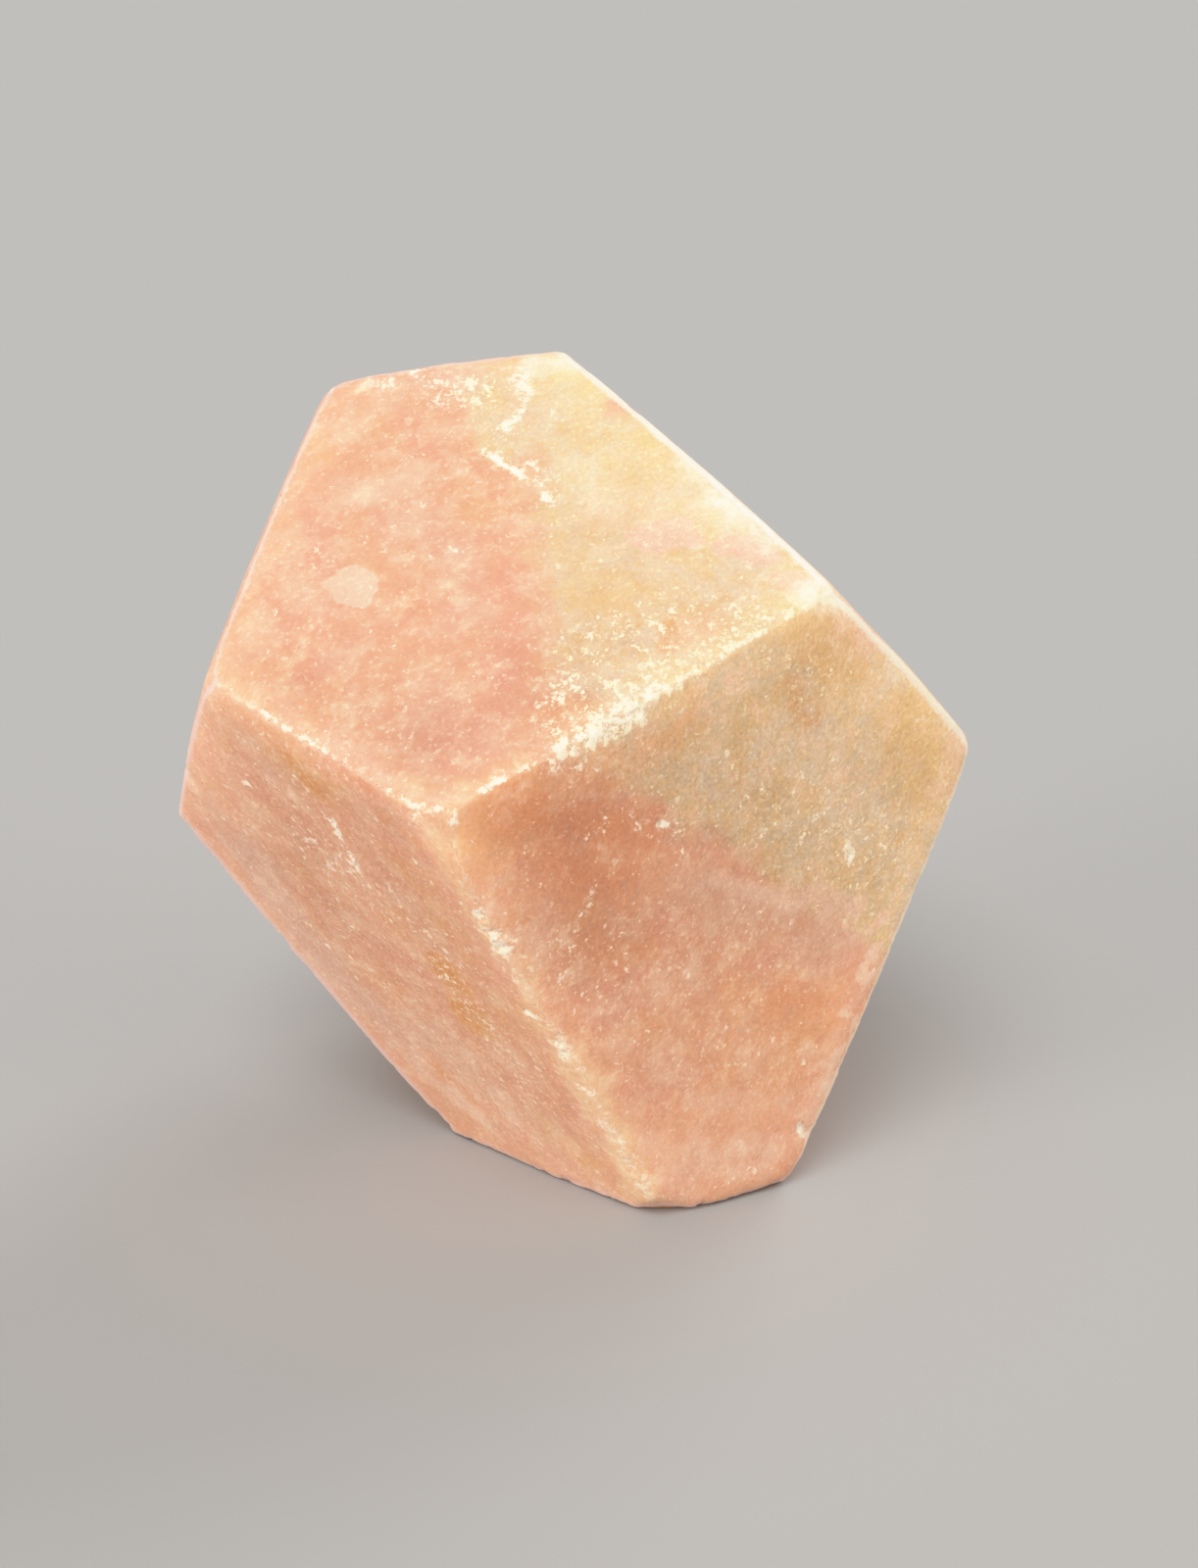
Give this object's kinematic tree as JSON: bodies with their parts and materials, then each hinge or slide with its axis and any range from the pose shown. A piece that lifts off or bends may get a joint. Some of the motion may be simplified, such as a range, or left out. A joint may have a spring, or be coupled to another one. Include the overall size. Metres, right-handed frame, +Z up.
{
  "type": "opal freeform",
  "caption": "Polished pink and cream opal freeform: a palm-sized stone cut to flat facets with softly rounded edges, standing on a flat base.",
  "frame": {"origin": "middle of the stone's bounding box, on the plane that its flat base rests on", "axes": "+Z up, -Y towards the front corner where the crown and both front faces meet, +X to the right seen from the front"},
  "size_m": [0.0632, 0.0562, 0.0661],
  "materials": {
    "opal": "satin-polished common opal, cloudy pink and cream, opaque to the eye with light bleeding through its edges"
  },
  "bodies": {
    "root": {"stone": "opal"}
  },
  "joints": []
}
